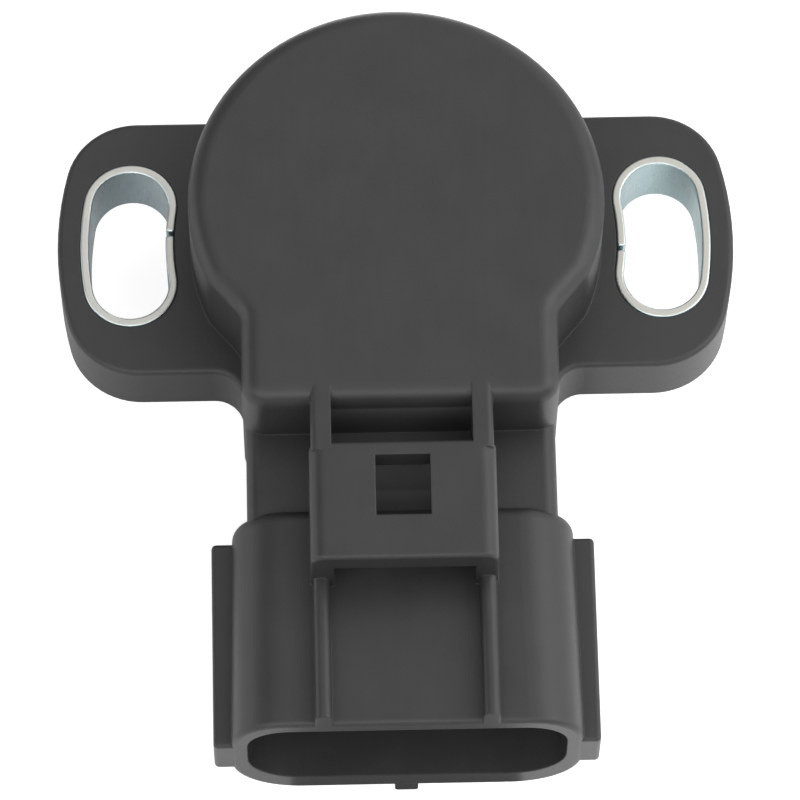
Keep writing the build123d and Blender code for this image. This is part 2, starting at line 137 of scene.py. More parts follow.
class ShaderGraph:
    """A material under construction: one Principled shader and the nodes that feed it.

    Attributes:
        BEVEL_SAMPLES: Rays that soften an edge.
        EDGE_TURN: How far the normal turns where the mask of an edge starts and where it is full.
    """

    BEVEL_SAMPLES: ClassVar[int] = 4
    EDGE_TURN: ClassVar[tuple[float, float]] = (0.02, 0.25)

    def __init__(self, name: str) -> None:
        """Starts an empty material.

        Args:
            name: Name of the material.
        """
        self.material = bpy.data.materials.new(name)
        self.material.use_nodes = True
        self.tree = self.material.node_tree
        self.tree.nodes.clear()
        self.end = self.tree.nodes.new("ShaderNodeOutputMaterial")

    def node(
        self,
        kind: str,
        settings: Mapping[str, object] | None = None,
        inputs: Mapping[str | int, Operand] | None = None,
        output: str | int = 0,
    ) -> Signal:
        """Adds any node, sets its settings first and then its sockets.

        Args:
            kind: The node's type.
            settings: Properties of the node.
            inputs: Values or signals by the name or number of the socket.
            output: Name or number of the output that is returned.

        Returns:
            The chosen output.
        """
        made = self.tree.nodes.new(kind)
        for name, value in (settings or {}).items():
            setattr(made, name, value)
        for key, value in (inputs or {}).items():
            self._feed(made.inputs[key], value)
        return Signal(self, made.outputs[output])

    def _feed(self, socket: bpy.types.NodeSocket, value: Operand) -> None:
        """Links a signal to a socket or sets a constant on it.

        Args:
            socket: Input to fill.
            value: Signal, number, vector or colour.
        """
        if isinstance(value, Signal):
            self.tree.links.new(value.socket, socket)
        elif socket.type == "RGBA":
            socket.default_value = (*value, 1.0)
        else:
            socket.default_value = value

    def place(self) -> Signal:
        """Place on the object, in metres of the part's own frame."""
        return self.node("ShaderNodeTexCoord", output="Object")

    def parts(self, vector: Signal) -> tuple[Signal, Signal, Signal]:
        """The three components of a vector.

        Args:
            vector: Vector to split.

        Returns:
            Its x, y and z.
        """
        split = self.node("ShaderNodeSeparateXYZ", inputs={0: vector}).socket.node
        return tuple(Signal(self, split.outputs[i]) for i in range(3))

    def facing(self) -> tuple[Signal, Signal, Signal]:
        """Components of the surface's own normal."""
        return self.parts(self.node("ShaderNodeNewGeometry", output="Normal"))

    def noise(self, size: float, detail: float, stretch: Sequence[float] = (1.0, 1.0, 1.0)) -> Signal:
        """Cloudy noise about 0.5.

        Args:
            size: Size of its patches in metres.
            detail: Number of finer layers.
            stretch: How much longer the patches are along x, y and z.

        Returns:
            The noise, from 0 to 1.
        """
        scale = tuple(1.0 / (size * s) for s in stretch)
        place = self.node("ShaderNodeMapping", inputs={"Vector": self.place(), "Scale": scale})
        return self.node("ShaderNodeTexNoise", inputs={"Vector": place, "Scale": 1.0, "Detail": detail})

    def cells(self, size: float) -> Signal:
        """Distance to the nearest of scattered points, for a spark-eroded grain.

        Args:
            size: Spacing of the points in metres.

        Returns:
            The distance in units of the spacing.
        """
        inputs = {"Vector": self.place(), "Scale": 1.0 / size}
        return self.node("ShaderNodeTexVoronoi", {"feature": "F1"}, inputs, output="Distance")

    def blend(self, share: Operand, first: Operand, second: Operand) -> Signal:
        """Mixes two colours.

        Args:
            share: Share of the second colour, from 0 to 1.
            first: Colour at share 0.
            second: Colour at share 1.

        Returns:
            The mixed colour.
        """
        return self.node("ShaderNodeMix", {"data_type": "RGBA"}, {0: share, 6: first, 7: second}, output=2)

    def inside(self, low: Point, high: Point, soft: float) -> Signal:
        """Mask of a box.

        Args:
            low: Lowest corner in metres.
            high: Highest corner in metres.
            soft: Width of the soft border in metres.

        Returns:
            A mask that is 1 in the box.
        """
        mask: Operand = 1.0
        for value, least, most in zip(self.parts(self.place()), low, high):
            mask = value.step(least - soft, least) * (1.0 - value.step(most, most + soft)) * mask
        return mask

    def edges(self, radius: float) -> tuple[Signal, Signal]:
        """Softened edges of a solid.

        Args:
            radius: Radius of the softening in metres.

        Returns:
            The rounded normal and a mask that is 1 on the edges.
        """
        rounded = self.node("ShaderNodeBevel", {"samples": self.BEVEL_SAMPLES}, {"Radius": radius})
        plain = self.node("ShaderNodeNewGeometry", output="Normal")
        alike = self.node(
            "ShaderNodeVectorMath", {"operation": "DOT_PRODUCT"}, {0: rounded, 1: plain}, output="Value"
        )
        return rounded, (1.0 - alike).step(*self.EDGE_TURN)

    def bump(self, height: Signal, depth: float, normal: Signal | None = None) -> Signal:
        """Raises the surface by a height signal.

        Args:
            height: Height from 0 to 1.
            depth: Height in metres that 1 stands for.
            normal: Normal to start from.

        Returns:
            The bumped normal.
        """
        inputs: dict[str | int, Operand] = {"Height": height, "Distance": depth, "Strength": 1.0}
        if normal is not None:
            inputs["Normal"] = normal
        return self.node("ShaderNodeBump", inputs=inputs)

    def surface(self, inputs: Mapping[str, Operand]) -> bpy.types.Material:
        """Closes the material with a Principled shader.

        Args:
            inputs: Values or signals of the shader's sockets.

        Returns:
            The finished material.
        """
        shader = self.node("ShaderNodeBsdfPrincipled", inputs=inputs)
        self._feed(self.end.inputs["Surface"], shader)
        return self.material


def darker(colour: Colour, share: float) -> Colour:
    """A colour scaled to a share of its brightness."""
    return tuple(share * c for c in colour)


def along(axis: Axis, stretch: float) -> Point:
    """How much longer a pattern is along x, y and z when it is stretched along one axis."""
    return tuple(1.0 + (stretch - 1.0) * part for part in axis.value)


class Finish(Protocol):
    """Anything that can make a material."""

    def material(self, name: str) -> bpy.types.Material:
        """Makes the material under the given name."""


@dataclass(frozen=True)
class MouldedBlack:
    """Black glass-filled plastic with a fine spark-eroded grain and faint flow lines.

    Attributes:
        deep: Darkest tone of the plastic.
        pale: Palest tone of the plastic.
        edge_sheen: Paler tone of the edges, a painted sheen.
        dust_and_pocket_light: Paler tone painted into the shaded pockets, as painted light.
        roughness: Mean roughness.
        refraction: Index of refraction, which sets the strength of the gloss.
        clouds: Size of the tone's clouds in metres.
        flow: Width of the flow lines in metres.
        flow_stretch: How much longer the flow lines are along x, y and z.
        cloud_share: Share of the clouds in the tone; the flow lines have the rest.
        grain: Spacing of the grain in metres.
        grain_depth: Depth of the grain in metres.
        grain_share: Share of the grain in the height; the flow lines have the rest.
        edge: Radius of the mould's sharpest edges in metres.
        edge_sheen_share: Share of the painted sheen's tone on an edge.
        edge_polish: How much smoother an edge is.
        cloud_gloss: How far the clouds change the roughness.
        flow_gloss: How far the flow lines change the roughness.
        grain_gloss: How far the grain changes the roughness.
        pockets: Lowest and highest corner of each pocket with painted light, in metres.
        pocket_border: Width of a pocket's soft border in metres.
    """

    deep: Colour = (0.0175, 0.0177, 0.0182)
    pale: Colour = (0.0234, 0.0236, 0.0242)
    edge_sheen: Colour = (0.032, 0.0325, 0.033)
    dust_and_pocket_light: Colour = (0.048, 0.048, 0.047)
    roughness: float = 0.42
    refraction: float = 1.38
    clouds: float = 3.2 * MILLIMETRE
    flow: float = 0.5 * MILLIMETRE
    flow_stretch: Point = (1.0, 9.0, 1.0)
    cloud_share: float = 0.7
    grain: float = 0.11 * MILLIMETRE
    grain_depth: float = 0.006 * MILLIMETRE
    grain_share: float = 0.8
    edge: float = 0.18 * MILLIMETRE
    edge_sheen_share: float = 0.5
    edge_polish: float = 0.06
    cloud_gloss: float = 0.05
    flow_gloss: float = 0.03
    grain_gloss: float = 0.10
    pockets: tuple[tuple[Point, Point], ...] = ()
    pocket_border: float = 0.4 * MILLIMETRE

    def material(self, name: str) -> bpy.types.Material:
        """Makes the plastic.

        Args:
            name: Name of the material.

        Returns:
            The material.
        """
        graph = ShaderGraph(name)
        clouds = graph.noise(self.clouds, detail=4.0)
        flow = graph.noise(self.flow, detail=3.0, stretch=self.flow_stretch)
        grain = graph.cells(self.grain)
        rounded, edge = graph.edges(self.edge)
        blotches = self.cloud_share * clouds + (1.0 - self.cloud_share) * flow
        colour = graph.blend(blotches.step(low=0.1, high=0.9), self.deep, self.pale)
        # Painted sheen: the edges are paler, in patches.
        colour = graph.blend(edge * clouds.step(low=0.3, high=0.6) * self.edge_sheen_share, colour, self.edge_sheen)
        # Painted light: the plastic is paler in the shaded pockets under and behind the latch bridge.
        for low, high in self.pockets:
            colour = graph.blend(graph.inside(low, high, self.pocket_border), colour, self.dust_and_pocket_light)
        unevenness = self.cloud_gloss * (clouds - NOISE_LEVEL) + self.flow_gloss * (flow - NOISE_LEVEL)
        pitting = self.grain_gloss * (grain - CELL_LEVEL)
        height = self.grain_share * grain + (1.0 - self.grain_share) * flow
        return graph.surface(
            {
                "Base Color": colour,
                "Roughness": self.roughness + unevenness + pitting - self.edge_polish * edge,
                "IOR": self.refraction,
                "Normal": graph.bump(height, self.grain_depth, rounded),
            }
        )


@dataclass(frozen=True)
class PlatedSteel:
    """Plated sheet steel: rolled faces with lines along one axis and warmer sheared rims.

    Attributes:
        rolled: Colour of the rolled faces.
        sheared: Colour of the rims that face up and down.
        roughness: Mean roughness.
        lines: Direction of the rolling lines.
        line_size: Width of the rolling lines in metres.
        line_stretch: Length of the rolling lines in widths.
        line_depth: Depth of the rolling lines in metres.
        line_gloss: How far the rolling lines change the roughness.
        stain_size: Size of the stains in metres.
        stain_share: Share of the darker tone in a stain.
        stain_tone: Brightness of that tone as a share of the rolled faces'.
        stain_gloss: How far the stains change the roughness.
        edge: Radius of the edges in metres.
        edge_share: Share of the sheared colour on an edge.
        rim_gloss: How much rougher a rim is.
    """

    rolled: Colour
    sheared: Colour
    roughness: float = 0.30
    lines: Axis = Axis.Z
    line_size: float = 0.10 * MILLIMETRE
    line_stretch: float = 15.0
    line_depth: float = 0.004 * MILLIMETRE
    line_gloss: float = 0.16
    stain_size: float = 1.6 * MILLIMETRE
    stain_share: float = 0.25
    stain_tone: float = 0.62
    stain_gloss: float = 0.12
    edge: float = 0.12 * MILLIMETRE
    edge_share: float = 0.7
    rim_gloss: float = 0.10

    def material(self, name: str) -> bpy.types.Material:
        """Makes the steel.

        Args:
            name: Name of the material.

        Returns:
            The material.
        """
        graph = ShaderGraph(name)
        lines = graph.noise(self.line_size, detail=3.0, stretch=along(self.lines, self.line_stretch))
        stains = graph.noise(self.stain_size, detail=3.0)
        upward = graph.facing()[2]
        rim = (upward * upward).step(low=0.5, high=0.9)
        rounded, edge = graph.edges(self.edge)
        colour = graph.blend(rim.at_least(edge * self.edge_share), self.rolled, self.sheared)
        stained = stains.step(low=0.52, high=0.8) * self.stain_share
        unevenness = self.line_gloss * (lines - NOISE_LEVEL) + self.stain_gloss * (stains - NOISE_LEVEL)
        return graph.surface(
            {
                "Base Color": graph.blend(stained, colour, darker(self.rolled, self.stain_tone)),
                "Roughness": self.roughness + unevenness + self.rim_gloss * rim,
                "Metallic": 1.0,
                "Normal": graph.bump(lines, self.line_depth, rounded),
            }
        )


@dataclass(frozen=True)
class PrintedBoard:
    """Laminate with a printed carbon track, its collector ring and three silvered pads on one side.

    Attributes:
        laminate: Colour of the bare board.
        carbon: Colour of the printed track.
        silver: Colour of the pads and collector.
        track: Inner and outer radius of the carbon track in metres.
        collector: Inner and outer radius of the collector ring in metres.
        pad_reach: Distance from the axis beyond which the terminals' pads start, in metres.
        print_edge: Width of the prints' soft edge in metres.
        print_height: Height of the prints in metres.
        fibre: Width of the laminate's fibres in metres.
        fibre_stretch: Length of the fibres along x in widths.
        fibre_tone: Brightness of a fibre as a share of the bare board's.
        fibre_share: Share of that tone on a fibre.
        fibre_height: Height of a fibre as a share of the prints'.
        fibre_gloss: How far the fibres change the roughness.
        roughness: Mean roughness of the bare board.
        silver_polish: How much smoother the silver is.
        silver_metal: How metallic the silver is, from 0 to 1.
    """

    laminate: Colour = (0.50, 0.42, 0.26)
    carbon: Colour = (0.022, 0.021, 0.021)
    silver: Colour = (0.62, 0.61, 0.58)
    track: tuple[float, float] = (6.3 * MILLIMETRE, 8.4 * MILLIMETRE)
    collector: tuple[float, float] = (3.9 * MILLIMETRE, 5.6 * MILLIMETRE)
    pad_reach: float = 9.0 * MILLIMETRE
    print_edge: float = 0.05 * MILLIMETRE
    print_height: float = 0.02 * MILLIMETRE
    fibre: float = 0.35 * MILLIMETRE
    fibre_stretch: float = 6.0
    fibre_tone: float = 0.7
    fibre_share: float = 0.35
    fibre_height: float = 0.2
    fibre_gloss: float = 0.12
    roughness: float = 0.55
    silver_polish: float = 0.18
    silver_metal: float = 0.9

    def material(self, name: str) -> bpy.types.Material:
        """Makes the board.

        Args:
            name: Name of the material.

        Returns:
            The material.
        """
        graph = ShaderGraph(name)
        x, y, _ = graph.parts(graph.place())
        radius = (x * x + y * y) ** 0.5
        fibre = graph.noise(self.fibre, detail=3.0, stretch=along(Axis.X, self.fibre_stretch))
        carbon = self._ring(radius, self.track)
        pads = (0.0 - y).step(self.pad_reach, self.pad_reach + self.print_edge)
        below = (0.0 - graph.facing()[2]).step(low=0.4, high=0.6)
        fibrous = fibre.step(low=0.3, high=0.7) * self.fibre_share
        base = graph.blend(fibrous, self.laminate, darker(self.laminate, self.fibre_tone))
        printed = graph.blend(carbon * below, base, self.carbon)
        plated = self._ring(radius, self.collector).at_least(pads) * below
        height = carbon.at_least(plated) + self.fibre_height * fibre
        unevenness = self.fibre_gloss * (fibre - NOISE_LEVEL)
        return graph.surface(
            {
                "Base Color": graph.blend(plated, printed, self.silver),
                "Roughness": self.roughness - self.silver_polish * plated + unevenness,
                "Metallic": plated * self.silver_metal,
                "Normal": graph.bump(height, self.print_height),
            }
        )

    def _ring(self, radius: Signal, limits: tuple[float, float]) -> Signal:
        """Mask of a printed ring.

        Args:
            radius: Distance from the axis.
            limits: Inner and outer radius in metres.

        Returns:
            A mask that is 1 on the ring.
        """
        inner, outer = limits
        past_outer = radius.step(outer, outer + self.print_edge)
        return radius.step(inner, inner + self.print_edge) * (1.0 - past_outer)


@dataclass(frozen=True)
class NaturalPlastic:
    """Unfilled moulding in its natural tone, a little translucent, with swirls and fine scuffs.

    Attributes:
        pale: Main tone.
        deep: Tone of the swirls.
        edge_sheen: Paler tone of the edges, a painted sheen.
        roughness: Mean roughness.
        swirl: Size of the swirls in metres.
        swirl_stretch: Length of the swirls along z in sizes.
        swirl_share: Share of the swirls' tone.
        swirl_gloss: How far the swirls change the roughness.
        scuff: Width of the scuffs in metres.
        scuff_stretch: Length of the scuffs along x in widths.
        scuff_depth: Depth of the scuffs in metres.
        scuff_gloss: How far the scuffs change the roughness.
        edge: Radius of the edges in metres.
        edge_share: Share of the painted sheen's tone on an edge.
        translucency: Share of the light that scatters inside.
        scatter: Scale of the distance that light scatters inside, in metres.
    """

    pale: Colour = (0.74, 0.71, 0.63)
    deep: Colour = (0.63, 0.59, 0.50)
    edge_sheen: Colour = (0.82, 0.80, 0.73)
    roughness: float = 0.38
    swirl: float = 2.2 * MILLIMETRE
    swirl_stretch: float = 2.5
    swirl_share: float = 0.6
    swirl_gloss: float = 0.08
    scuff: float = 0.12 * MILLIMETRE
    scuff_stretch: float = 8.0
    scuff_depth: float = 0.004 * MILLIMETRE
    scuff_gloss: float = 0.14
    edge: float = 0.15 * MILLIMETRE
    edge_share: float = 0.3
    translucency: float = 0.12
    scatter: float = 0.4 * MILLIMETRE

    def material(self, name: str) -> bpy.types.Material:
        """Makes the plastic.

        Args:
            name: Name of the material.

        Returns:
            The material.
        """
        graph = ShaderGraph(name)
        swirl = graph.noise(self.swirl, detail=4.0, stretch=along(Axis.Z, self.swirl_stretch))
        scuff = graph.noise(self.scuff, detail=2.0, stretch=along(Axis.X, self.scuff_stretch))
        rounded, edge = graph.edges(self.edge)
        tone = graph.blend(swirl.step(low=0.35, high=0.75) * self.swirl_share, self.pale, self.deep)
        unevenness = self.scuff_gloss * (scuff - NOISE_LEVEL) + self.swirl_gloss * (swirl - NOISE_LEVEL)
        return graph.surface(
            {
                # Painted sheen: the edges are paler.
                "Base Color": graph.blend(edge * self.edge_share, tone, self.edge_sheen),
                "Roughness": self.roughness + unevenness,
                "Subsurface Weight": self.translucency,
                "Subsurface Scale": self.scatter,
                "Normal": graph.bump(scuff, self.scuff_depth, rounded),
            }
        )


@dataclass(frozen=True)
class SpringMetal:
    """Bare or plated metal drawn or rolled to size, with lines along one axis and dull patches.

    Attributes:
        bright: Colour of clean metal.
        dull: Colour of the dull patches.
        roughness: Mean roughness.
        lines: Direction of the lines.
        line_size: Width of the lines in metres.
        line_stretch: Length of the lines in widths.
        line_depth: Depth of the lines in metres.
        line_gloss: How far the lines change the roughness.
        patch_size: Size of the dull patches in metres.
        patch_share: Share of the dull colour in a patch.
        patch_gloss: How far the patches change the roughness.
        edge: Radius of the edges in metres.
        edge_share: Share of the brighter tone on an edge, a painted glint.
        edge_gain: Brightness of that tone as a multiple of clean metal's.
    """

    bright: Colour = (0.56, 0.56, 0.57)
    dull: Colour = (0.38, 0.37, 0.37)
    roughness: float = 0.34
    lines: Axis = Axis.X
    line_size: float = 0.09 * MILLIMETRE
    line_stretch: float = 12.0
    line_depth: float = 0.004 * MILLIMETRE
    line_gloss: float = 0.18
    patch_size: float = 1.1 * MILLIMETRE
    patch_share: float = 0.7
    patch_gloss: float = 0.14
    edge: float = 0.08 * MILLIMETRE
    edge_share: float = 0.4
    edge_gain: float = 1.15

    def material(self, name: str) -> bpy.types.Material:
        """Makes the metal.

        Args:
            name: Name of the material.

        Returns:
            The material.
        """
        graph = ShaderGraph(name)
        lines = graph.noise(self.line_size, detail=3.0, stretch=along(self.lines, self.line_stretch))
        patches = graph.noise(self.patch_size, detail=4.0)
        rounded, edge = graph.edges(self.edge)
        tone = graph.blend(patches.step(low=0.45, high=0.75) * self.patch_share, self.bright, self.dull)
        # Painted glint: the edges are brighter than clean metal.
        edge_glint = tuple(min(1.0, self.edge_gain * c) for c in self.bright)
        unevenness = self.line_gloss * (lines - NOISE_LEVEL) + self.patch_gloss * (patches - NOISE_LEVEL)
        return graph.surface(
            {
                "Base Color": graph.blend(edge * self.edge_share, tone, edge_glint),
                "Roughness": self.roughness + unevenness,
                "Metallic": 1.0,
                "Normal": graph.bump(lines, self.line_depth, rounded),
            }
        )


@dataclass(frozen=True)
class SealRubber:
    """Nitrile rubber: nearly black, with a dusty bloom and a fine pebbled skin.

    Attributes:
        rubber: Colour of clean rubber.
        bloom: Colour of the bloom.
        roughness: Mean roughness.
        bloom_size: Size of the bloom's patches in metres.
        bloom_share: Share of the bloom's colour in a patch.
        bloom_gloss: How far the bloom changes the roughness.
        pebble: Spacing of the skin's pebbles in metres.
        pebble_depth: Depth of the pebbles in metres.
        pebble_gloss: How far the pebbles change the roughness.
    """

    rubber: Colour = (0.020, 0.020, 0.022)
    bloom: Colour = (0.060, 0.060, 0.062)
    roughness: float = 0.62
    bloom_size: float = 0.9 * MILLIMETRE
    bloom_share: float = 0.6
    bloom_gloss: float = 0.2
    pebble: float = 0.09 * MILLIMETRE
    pebble_depth: float = 0.008 * MILLIMETRE
    pebble_gloss: float = 0.08

    def material(self, name: str) -> bpy.types.Material:
        """Makes the rubber.

        Args:
            name: Name of the material.

        Returns:
            The material.
        """
        graph = ShaderGraph(name)
        dust_and_pocket_light = graph.noise(self.bloom_size, detail=5.0)
        pebble = graph.cells(self.pebble)
        bloomed = dust_and_pocket_light.step(low=0.45, high=0.8) * self.bloom_share
        unevenness = self.bloom_gloss * (dust_and_pocket_light - NOISE_LEVEL) + self.pebble_gloss * (pebble - CELL_LEVEL)
        return graph.surface(
            {
                "Base Color": graph.blend(bloomed, self.rubber, self.bloom),
                "Roughness": self.roughness + unevenness,
                "Normal": graph.bump(pebble, self.pebble_depth),
            }
        )


@dataclass(frozen=True)
class StudioPaper:
    """Matt paper with a trace of tooth, which light may come through from below.

    Attributes:
        tone: How white the paper is, from 0 to 1.
        glow: Strength of the light that comes through it.
        tooth_size: Size of its tooth in metres.
        tooth_tone: Brightness of its tooth as a share of the paper's.
        roughness: Roughness.
    """

    tone: float
    glow: float
    tooth_size: float = 2.0 * MILLIMETRE
    tooth_tone: float = 0.97
    roughness: float = 0.85

    def material(self, name: str) -> bpy.types.Material:
        """Makes the paper.

        Args:
            name: Name of the material.

        Returns:
            The material.
        """
        graph = ShaderGraph(name)
        white = (self.tone,) * 3
        tooth = graph.noise(self.tooth_size, detail=3.0)
        return graph.surface(
            {
                "Base Color": graph.blend(tooth, white, darker(white, self.tooth_tone)),
                "Roughness": self.roughness,
                "Emission Color": (1.0, 1.0, 1.0),
                "Emission Strength": self.glow,
            }
        )


@dataclass
class SubAssembly:
    """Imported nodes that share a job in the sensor, each with its finish.

    Attributes:
        finishes: Finish of each node, by the node's name.
    """

    finishes: dict[str, Finish] = field(default_factory=dict)

    def dress(self) -> list[bpy.types.Object]:
        """Gives every node of the sub-assembly its material.

        Returns:
            The dressed objects.
        """
        dressed = []
        for name, finish in self.finishes.items():
            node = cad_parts[name]
            node.data.materials.clear()
            node.data.materials.append(finish.material(f"{name}_finish"))
            dressed.append(node)
        return dressed


@dataclass
class MouldedCase(SubAssembly):
    """The housing with its ears, neck, latch bridge and connector shroud.

    Painted light makes the plastic paler in the shade between the latch's ribs, behind the bridge and below
    the bridge's hole.

    Attributes:
        finishes: Finish of each node, by the node's name.
        pocket_half: Half the width of both pockets of painted light in metres.
        pocket_heights: Lowest and highest z of both pockets in metres.
        behind_bridge: Lowest and highest y of the pocket behind the bridge in metres.
        below_hole: Lowest and highest y of the pocket below the bridge's hole in metres.
    """

    pocket_half: float = 5.1 * MILLIMETRE
    pocket_heights: tuple[float, float] = (7.4 * MILLIMETRE, 12.0 * MILLIMETRE)
    behind_bridge: tuple[float, float] = (-18.2 * MILLIMETRE, -16.3 * MILLIMETRE)
    below_hole: tuple[float, float] = (-23.6 * MILLIMETRE, -21.2 * MILLIMETRE)

    def __post_init__(self) -> None:
        """Gives the housing its plastic, with painted light in both pockets."""
        bottom, top = self.pocket_heights
        # The pockets where painted light makes the plastic paler.
        pockets = tuple(
            ((-self.pocket_half, front, bottom), (self.pocket_half, back, top))
            for front, back in (self.behind_bridge, self.below_hole)
        )
        self.finishes = {"housing": MouldedBlack(pockets=pockets)}


@dataclass
class SlotSleeves(SubAssembly):
    """The two rolled sleeves in the curved slots."""

    finishes: dict[str, Finish] = field(
        default_factory=lambda: {
            # Painted shade and light: both sleeves are the same steel; the left one's rolled faces are darker
            # as painted shade, and the rims' colours differ too.
            "left_bushing": PlatedSteel(rolled=(0.43, 0.52, 0.55), sheared=(0.49, 0.485, 0.455)),
            "right_bushing": PlatedSteel(rolled=(0.53, 0.66, 0.68), sheared=(0.45, 0.445, 0.41)),
        }
    )


@dataclass
class ConnectorBlades(SubAssembly):
    """The three tin-plated blades in the connector."""

    finishes: dict[str, Finish] = field(
        default_factory=lambda: {
            name: SpringMetal(
                bright=(0.72, 0.70, 0.66), dull=(0.52, 0.50, 0.46), roughness=0.36, lines=Axis.Y
            )
            for name in ("terminal_supply", "terminal_signal", "terminal_ground")
        }
    )


@dataclass
class SensingParts(SubAssembly):
    """The board with its track, and the wiper that runs on it."""

    finishes: dict[str, Finish] = field(
        default_factory=lambda: {
            "resistor_board": PrintedBoard(),
            "wiper": SpringMetal(
                bright=(0.80, 0.62, 0.34), dull=(0.56, 0.40, 0.20), roughness=0.28, lines=Axis.Y
            ),
        }
    )


@dataclass
class TurningParts(SubAssembly):
    """The rotor, its return spring and the washer that it turns on.

    Attributes:
        finishes: Finish of each node, by the node's name.
        spring_wire: Thickness of the spring's wire in metres. Not used.
        spring_leg: Length of the spring's upper leg above its last turn, in metres. Not used.
    """

    finishes: dict[str, Finish] = field(
        default_factory=lambda: {
            "rotor": NaturalPlastic(),
            "return_spring": SpringMetal(),
            "thrust_washer": SpringMetal(bright=(0.62, 0.62, 0.62), dull=(0.45, 0.45, 0.45), roughness=0.30),
        }
    )
    spring_wire: float = 0.7 * MILLIMETRE
    spring_leg: float = 1.65 * MILLIMETRE

    def dress(self) -> list[bpy.types.Object]:
        """Dresses the nodes and adds a copy of the spring's solid.

        Returns:
            The dressed objects and the spring.
        """
        return [*super().dress(), self._winding_spring()]

    def _winding_spring(self) -> bpy.types.Object:
        """Puts a copy of the spring's solid in place of the solid node.

        Returns:
            The spring, with its lower leg on the case and its upper leg on the rotor.
        """
        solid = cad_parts["return_spring"]
        spring = bpy.data.objects.new("winding_spring", solid.data.copy())
        bpy.context.scene.collection.objects.link(spring)
        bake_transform(spring)
        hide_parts("return_spring")
        return spring


@dataclass
class CoverAndSeals(SubAssembly):
    """The bearing cover with its spigot, gasket, ring and lip seal."""

    finishes: dict[str, Finish] = field(
        default_factory=lambda: {
            "bearing_cover": MouldedBlack(
                deep=(0.016, 0.016, 0.017),
                pale=(0.022, 0.022, 0.023),
                edge_sheen=(0.030, 0.030, 0.031),
                roughness=0.52,
            ),
            "cover_gasket": SealRubber(),
            "pilot_o_ring": SealRubber(),
            "rotor_seal": SealRubber(rubber=(0.030, 0.026, 0.024), bloom=(0.075, 0.066, 0.060)),
        }
    )


@dataclass
class PhotoCamera:
    """Camera at the photograph's viewing angle.

    Attributes:
        azimuth: Degrees round the part from straight in front of the connector.
        elevation: Degrees above the horizon.
        roll: Degrees that the picture is turned.
        distance: Distance from the target in metres.
        view_width: Width of the picture at the target in metres.
        target: Point that the picture is centred on, in the part's frame.
        clip: Nearest and farthest distance that the camera sees, in metres.
    """

    azimuth: float = -2.121
    elevation: float = 66.974
    roll: float = 0.913
    distance: float = 426.4 * MILLIMETRE
    view_width: float = 58.99 * MILLIMETRE
    target: Vector = field(default_factory=lambda: Vector((0.045, -12.711, 5.0)) * MILLIMETRE)
    clip: tuple[float, float] = (0.01, 20.0)

    def build(self) -> bpy.types.Object:
        """Adds the camera and makes it the scene's own.

        Returns:
            The camera.
        """
        turn, tilt = math.radians(self.azimuth), math.radians(self.elevation)
        back = Vector((math.sin(turn) * math.cos(tilt), -math.cos(turn) * math.cos(tilt), math.sin(tilt)))
        right = Vector((math.cos(turn), math.sin(turn), 0.0))
        axes = Matrix((right, back.cross(right), back)).transposed()
        data = bpy.data.cameras.new("photo_camera")
        data.lens = data.sensor_width * self.distance / self.view_width
        data.clip_start, data.clip_end = self.clip
        camera = bpy.data.objects.new("photo_camera", data)
        rolled = axes.to_4x4() @ Matrix.Rotation(math.radians(self.roll), 4, "Z")
        camera.matrix_world = Matrix.Translation(self.target + back * self.distance) @ rolled
        bpy.context.scene.collection.objects.link(camera)
        bpy.context.scene.camera = camera
        return camera


@dataclass(frozen=True)
class SoftBox:
    """A rectangular soft light that faces the part.

    Attributes:
        name: Name of the light.
        azimuth: Degrees round the part from its right side, against the clock.
        elevation: Degrees above the horizon.
        size: Width and height in metres.
        brightness: Radiance, where 1 lights a matt white sheet to plain white if it fills the sky.
        distance: Distance from the part in metres.
    """

    name: str
    azimuth: float
    elevation: float
    size: tuple[float, float]
    brightness: float
    distance: float = 1.0

    def build(self, target: Vector) -> bpy.types.Object:
        """Adds the light, aimed at a point.

        Args:
            target: Point that the light faces.

        Returns:
            The light.
        """
        turn, tilt = math.radians(self.azimuth), math.radians(self.elevation)
        way = Vector((math.cos(turn) * math.cos(tilt), math.sin(turn) * math.cos(tilt), math.sin(tilt)))
        width, height = self.size
        data = bpy.data.lights.new(self.name, "AREA")
        data.shape = "RECTANGLE"
        data.size, data.size_y = width, height
        data.energy = math.pi * width * height * self.brightness
        light = bpy.data.objects.new(self.name, data)
        light.location = target + way * self.distance
        light.rotation_mode = "QUATERNION"
        light.rotation_quaternion = (-way).to_track_quat("-Z", "Y")
        bpy.context.scene.collection.objects.link(light)
        return light


@dataclass(frozen=True)
class PaperSheet:
    """A sheet of paper on the table.

    Attributes:
        name: Name of the sheet.
        low: Lowest x and y in metres.
        high: Highest x and y in metres.
        glow: Strength of the light that comes through it.
        tone: How white the paper is, from 0 to 1.
        in_sight: Whether the camera sees it. If not, only the part's surfaces do.
        lift: Height above the table in metres.
    """

    name: str
    low: tuple[float, float]
    high: tuple[float, float]
    glow: float = 0.0
    tone: float = 0.93
    in_sight: bool = False
    lift: float = 0.06 * MILLIMETRE

    def build(self, table: float) -> bpy.types.Object:
        """Adds the sheet.

        Args:
            table: Height of the table in metres.

        Returns:
            The sheet.
        """
        (left, front), (right, back) = self.low, self.high
        height = table + self.lift
        mesh = bpy.data.meshes.new(self.name)
        outline = [(left, front, height), (right, front, height), (right, back, height), (left, back, height)]
        mesh.from_pydata(outline, [], [(0, 1, 2, 3)])
        mesh.materials.append(StudioPaper(self.tone, self.glow).material(f"{self.name}_paper"))
        sheet = bpy.data.objects.new(self.name, mesh)
        sheet.visible_camera = self.in_sight
        sheet.visible_shadow = self.in_sight
        sheet.visible_diffuse = not self.in_sight
        sheet.visible_glossy = not self.in_sight
        bpy.context.scene.collection.objects.link(sheet)
        sheet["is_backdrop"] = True
        return sheet


